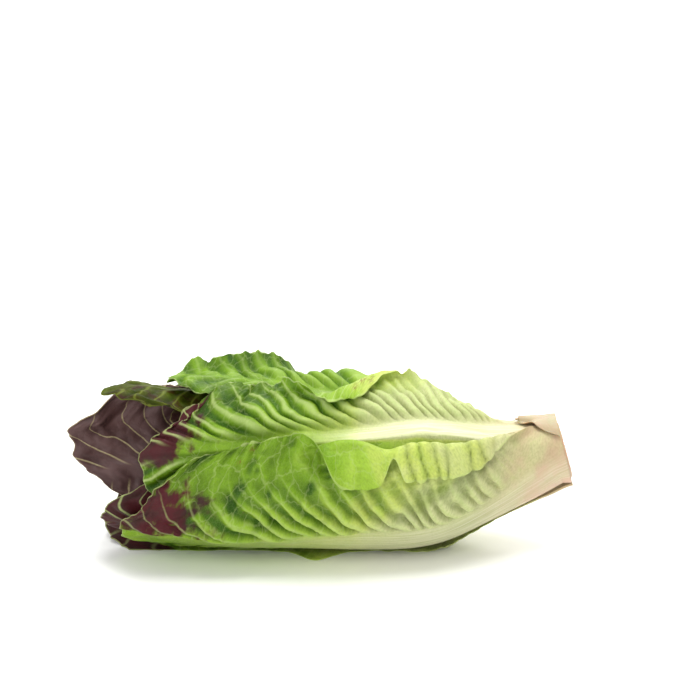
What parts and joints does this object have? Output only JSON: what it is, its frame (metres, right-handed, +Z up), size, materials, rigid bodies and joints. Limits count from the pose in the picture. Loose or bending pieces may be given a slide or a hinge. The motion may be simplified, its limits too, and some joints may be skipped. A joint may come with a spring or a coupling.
{
  "type": "romaine lettuce head",
  "caption": "Head of red-tipped romaine lettuce lying on its side: long waved leaves with thick pale midribs wrapped round a short cut stem.",
  "frame": {"origin": "on the table, under the middle of the head", "axes": "+X along the head to the cut end of the stem, +Z up from the table"},
  "size_m": [0.2852, 0.1148, 0.1035],
  "materials": {
    "stem": "moist cream tissue, pink at the cut",
    "outer_leaf": "yellow-green waxy leaf with a cream rib and dark red patches at the tip",
    "red_leaf": "maroon waxy leaf with cream veins, green towards its base",
    "heart_leaf": "pale yellow-green waxy leaf with a cream rib"
  },
  "bodies": {
    "root": {"stem": "stem", "torn_leaf_base": "stem", "leaf_01": "outer_leaf", "leaf_02": "outer_leaf", "leaf_03": "outer_leaf", "leaf_04": "outer_leaf", "leaf_05": "red_leaf", "leaf_06": "outer_leaf", "leaf_07": "red_leaf", "leaf_08": "heart_leaf", "leaf_09": "red_leaf", "leaf_10": "heart_leaf", "leaf_11": "heart_leaf", "leaf_12": "heart_leaf", "leaf_13": "heart_leaf", "leaf_14": "heart_leaf", "leaf_15": "heart_leaf", "leaf_16": "heart_leaf"}
  },
  "joints": []
}
